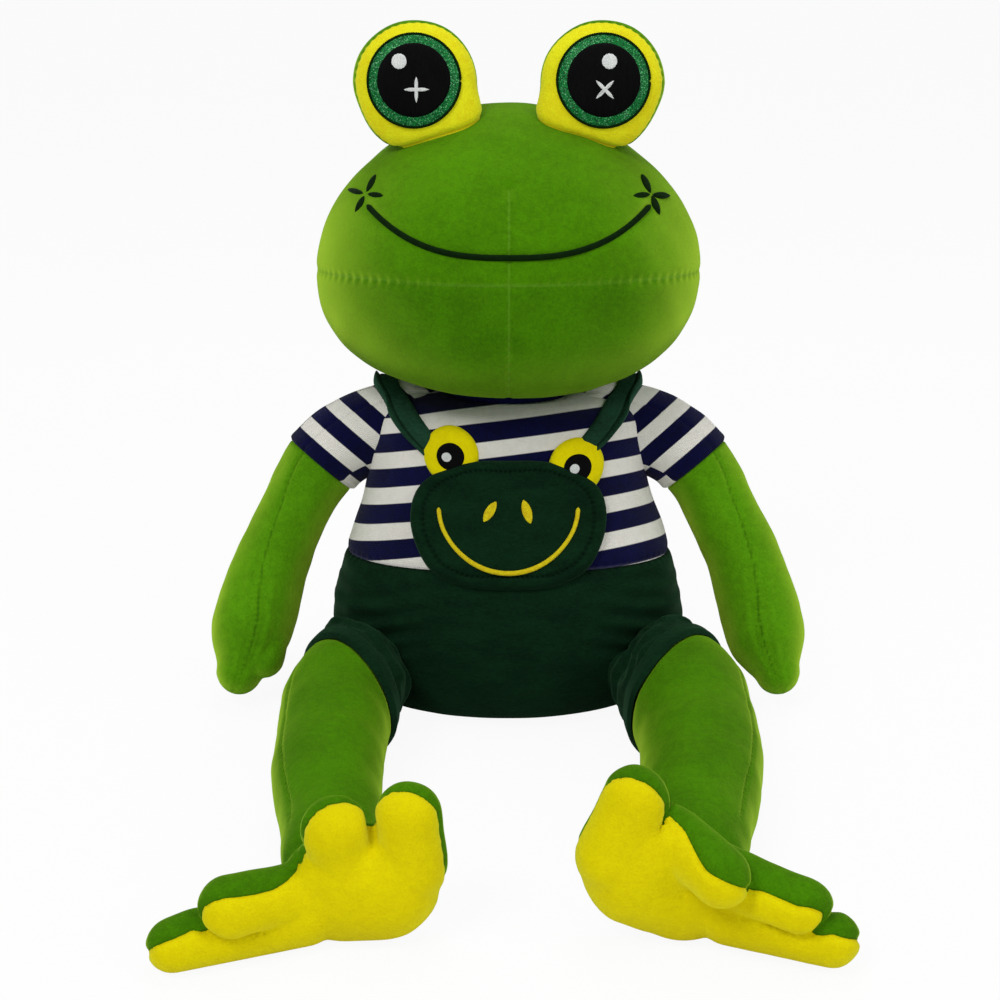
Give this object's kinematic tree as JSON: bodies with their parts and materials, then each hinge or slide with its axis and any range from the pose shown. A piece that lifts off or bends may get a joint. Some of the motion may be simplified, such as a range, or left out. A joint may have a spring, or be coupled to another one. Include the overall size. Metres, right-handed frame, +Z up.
{
  "type": "plush frog",
  "caption": "Sitting stuffed frog with bulging eyes, striped shirt and bib overalls; its head, arms, legs and long-toed feet move.",
  "frame": {"origin": "centre of the flat seat, on the floor it sits on", "axes": "+Z up, front of the toy faces -Y, its own left side is +X"},
  "size_m": [0.3642, 0.4547, 0.4101],
  "materials": {
    "leaf_green_plush": "short soft pile",
    "lemon_plush": "short soft pile",
    "glitter_fabric": "sparkling",
    "black_embroidery": "matt embroidery",
    "white_embroidery": "satin embroidery",
    "dark_thread": "satin stitch",
    "yellow_thread": "satin stitch",
    "striped_jersey": "white and navy knitted stripes",
    "green_velour": "napped velour",
    "polyester_fibre": "loose fibre"
  },
  "bodies": {
    "torso": {"torso_stuffing": "polyester_fibre", "shirt_body": "striped_jersey", "overalls_pants": "green_velour", "strap_left": "green_velour", "strap_right": "green_velour", "bib_panel": "green_velour", "bib_eye_left": "lemon_plush", "bib_eye_right": "lemon_plush", "bib_pupil_left": "black_embroidery", "bib_pupil_right": "black_embroidery", "bib_glint_left": "white_embroidery", "bib_glint_right": "white_embroidery", "bib_smile": "yellow_thread", "bib_nostril_left": "yellow_thread", "bib_nostril_right": "yellow_thread"},
    "neck": {"neck_stuffing": "polyester_fibre"},
    "head": {"head_upper": "leaf_green_plush", "head_lower": "leaf_green_plush", "head_stuffing": "polyester_fibre", "mouth_embroidery": "dark_thread", "cheek_star_left": "dark_thread", "cheek_star_right": "dark_thread", "eye_back_left": "leaf_green_plush", "eye_face_left": "lemon_plush", "eye_stuffing_left": "polyester_fibre", "eye_glitter_left": "glitter_fabric", "eye_pupil_left": "black_embroidery", "eye_dot_left": "white_embroidery", "eye_star_left": "white_embroidery", "eye_back_right": "leaf_green_plush", "eye_face_right": "lemon_plush", "eye_stuffing_right": "polyester_fibre", "eye_glitter_right": "glitter_fabric", "eye_pupil_right": "black_embroidery", "eye_dot_right": "white_embroidery", "eye_star_right": "white_embroidery"},
    "arm_left": {"sleeve_left": "striped_jersey", "arm_left": "leaf_green_plush", "arm_stuffing_left": "polyester_fibre"},
    "leg_left": {"shorts_leg_left": "green_velour", "leg_left": "leaf_green_plush", "leg_stuffing_left": "polyester_fibre"},
    "foot_left": {"foot_top_left": "leaf_green_plush", "foot_sole_left": "lemon_plush", "foot_stuffing_left": "polyester_fibre"},
    "arm_right": {"sleeve_right": "striped_jersey", "arm_right": "leaf_green_plush", "arm_stuffing_right": "polyester_fibre"},
    "leg_right": {"shorts_leg_right": "green_velour", "leg_right": "leaf_green_plush", "leg_stuffing_right": "polyester_fibre"},
    "foot_right": {"foot_top_right": "leaf_green_plush", "foot_sole_right": "lemon_plush", "foot_stuffing_right": "polyester_fibre"}
  },
  "joints": [
    {"name": "head_turn", "type": "hinge", "parent": "torso", "child": "neck", "pos_m": [0, 0.022, 0.192], "axis": [0, 0, 1], "range_deg": [-30, 30], "stiffness_Nm_per_rad": 0.5},
    {"name": "head_nod", "type": "hinge", "parent": "neck", "child": "head", "pos_m": [0, 0.022, 0.192], "axis": [1, 0, 0], "range_deg": [-8, 8], "stiffness_Nm_per_rad": 2.5},
    {"name": "shoulder_left", "type": "hinge", "parent": "torso", "child": "arm_left", "pos_m": [0.084, 0.022, 0.164], "axis": [-1, 0, 0], "range_deg": [-40, 100]},
    {"name": "hip_left", "type": "hinge", "parent": "torso", "child": "leg_left", "pos_m": [0.078, -0.03, 0.038], "axis": [-1, 0, 0], "range_deg": [-15, 60]},
    {"name": "ankle_left", "type": "hinge", "parent": "leg_left", "child": "foot_left", "pos_m": [0.08934, -0.292, 0.03], "axis": [-1, 0, 0], "range_deg": [-15, 15]},
    {"name": "shoulder_right", "type": "hinge", "parent": "torso", "child": "arm_right", "pos_m": [-0.084, 0.022, 0.164], "axis": [-1, 0, 0], "range_deg": [-40, 100]},
    {"name": "hip_right", "type": "hinge", "parent": "torso", "child": "leg_right", "pos_m": [-0.078, -0.03, 0.038], "axis": [-1, 0, 0], "range_deg": [-15, 60]},
    {"name": "ankle_right", "type": "hinge", "parent": "leg_right", "child": "foot_right", "pos_m": [-0.08661, -0.292, 0.03], "axis": [-1, 0, 0], "range_deg": [-15, 15]}
  ]
}
